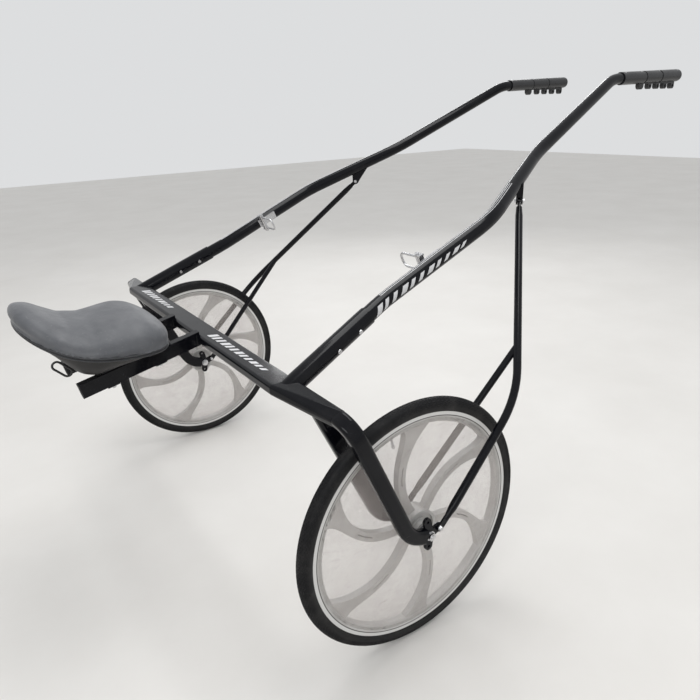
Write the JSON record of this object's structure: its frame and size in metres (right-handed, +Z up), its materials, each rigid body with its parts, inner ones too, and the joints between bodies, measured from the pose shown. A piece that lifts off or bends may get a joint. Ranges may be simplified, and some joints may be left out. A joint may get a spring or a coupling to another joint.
{
  "type": "harness racing sulky",
  "caption": "Two-wheeled racing cart: saddle seat on a flat cross arch, disc wheels in paired forks, braced shafts rising to hitch combs.",
  "frame": {"origin": "on the ground, midway along the whole length and width", "axes": "+X forward to the shaft tips, +Y to the driver's left, +Z up"},
  "size_m": [2.4805, 1.616, 1.4531],
  "materials": {
    "black_paint": "gloss black enamel",
    "shaft_paint": "gloss black enamel with fine silver lines",
    "steel": "bright plated steel",
    "grip_cover": "smooth black covered grip",
    "black_plastic": "black plastic",
    "seat_cover": "coated seat cover",
    "piping": "black edge welt",
    "pan": "dark moulded shell",
    "wheel_alloy": "silver grey moulded composite",
    "tyre": "ribbed black rubber",
    "clear_disc": "clear sheet cover"
  },
  "bodies": {
    "frame": {"arch": "black_paint", "fork_outer_left": "black_paint", "fork_outer_right": "black_paint", "fork_inner_left": "black_paint", "fork_inner_right": "black_paint", "hub_plate_outer_left": "black_paint", "hub_plate_outer_right": "black_paint", "hub_plate_inner_left": "black_paint", "hub_plate_inner_right": "black_paint", "axle_left": "steel", "axle_right": "steel", "axle_nuts": "steel", "axle_spacers": "steel", "shaft_socket_left": "black_paint", "shaft_socket_right": "black_paint", "shaft_left": "shaft_paint", "shaft_right": "shaft_paint", "shaft_bolts": "steel", "brace_lug_left": "black_paint", "brace_lug_right": "black_paint", "brace_left": "black_paint", "brace_right": "black_paint", "brace_leg_left": "black_paint", "brace_leg_right": "black_paint", "brace_bolts": "steel", "grip_left": "grip_cover", "grip_right": "grip_cover", "grip_screws": "steel", "comb_left": "black_plastic", "comb_right": "black_plastic", "footrest_plate_left": "steel", "footrest_plate_right": "steel", "footrest_pins": "steel", "rail_left": "black_paint", "rail_right": "black_paint", "rail_caps": "black_plastic"},
    "wheel_left": {"wheel_left": "wheel_alloy", "tyre_left": "tyre", "bearings_left": "steel", "disc_outer_left": "clear_disc", "disc_inner_left": "clear_disc", "valve_left": "steel"},
    "wheel_right": {"wheel_right": "wheel_alloy", "tyre_right": "tyre", "bearings_right": "steel", "disc_outer_right": "clear_disc", "disc_inner_right": "clear_disc", "valve_right": "steel"},
    "footrest_left": {"footrest_loop_left": "steel"},
    "footrest_right": {"footrest_loop_right": "steel"},
    "seat": {"seat_cushion": "seat_cover", "seat_piping": "piping", "seat_pan": "pan", "seat_clamps": "black_paint", "seat_bolts": "steel", "seat_loop": "black_plastic"}
  },
  "joints": [
    {"name": "wheel_spin_left", "type": "hinge", "parent": "frame", "child": "wheel_left", "pos_m": [-0.496, 0.7335, 0.348], "axis": [0, 1, 0], "continuous": true},
    {"name": "wheel_spin_right", "type": "hinge", "parent": "frame", "child": "wheel_right", "pos_m": [-0.496, -0.7335, 0.348], "axis": [0, 1, 0], "continuous": true},
    {"name": "footrest_fold_left", "type": "hinge", "parent": "frame", "child": "footrest_left", "pos_m": [-0.25789, 0.47059, 0.9457], "axis": [-0.3936, 0, 0.9193], "range_deg": [0, 90]},
    {"name": "footrest_fold_right", "type": "hinge", "parent": "frame", "child": "footrest_right", "pos_m": [-0.25789, -0.47059, 0.9457], "axis": [0.3936, 0, -0.9193], "range_deg": [0, 90]},
    {"name": "seat_slide", "type": "slide", "parent": "frame", "child": "seat", "axis": [0.9774, 0, 0.2113], "range_m": [-0.05, 0.035]}
  ]
}
